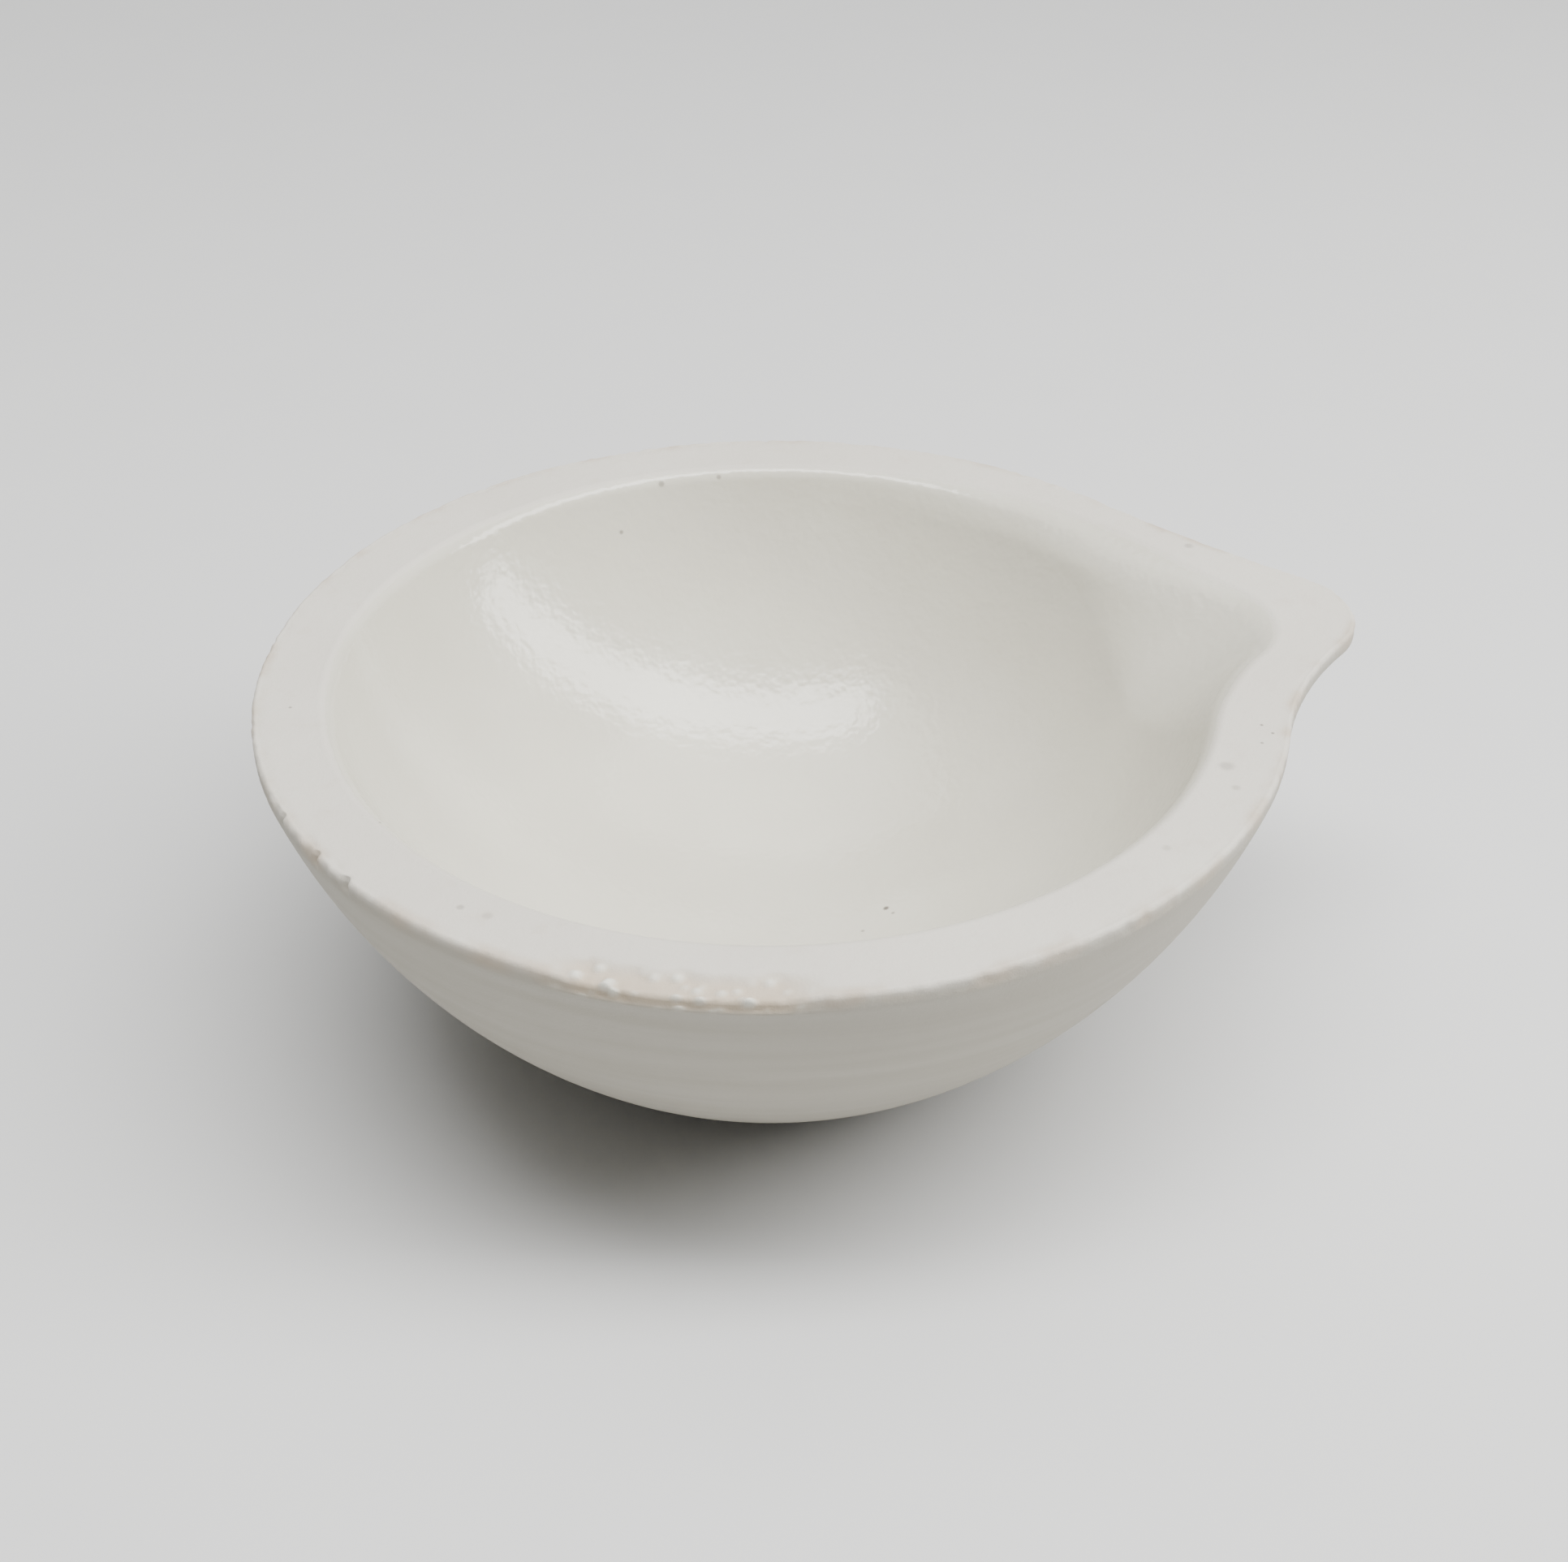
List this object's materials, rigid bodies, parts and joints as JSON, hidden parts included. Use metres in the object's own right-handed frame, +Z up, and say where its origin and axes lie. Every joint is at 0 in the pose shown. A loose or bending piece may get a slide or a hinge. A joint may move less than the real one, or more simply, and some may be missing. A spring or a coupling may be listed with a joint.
{
  "type": "foundry crucible",
  "caption": "Shallow round ceramic melting dish with a flat rim, a small flat foot and one pouring lip, for melting and pouring metal.",
  "frame": {"origin": "centre of the foot's flat face, on the bench and on the bowl's axis", "axes": "+Z up along the bowl's axis, +X along the pouring lip, +Y towards the lip's straighter flank"},
  "size_m": [0.1101, 0.1, 0.038],
  "materials": {
    "silica_ceramic": "matte rim and outside, clear glaze inside"
  },
  "bodies": {
    "root": {"crucible": "silica_ceramic"}
  },
  "joints": []
}
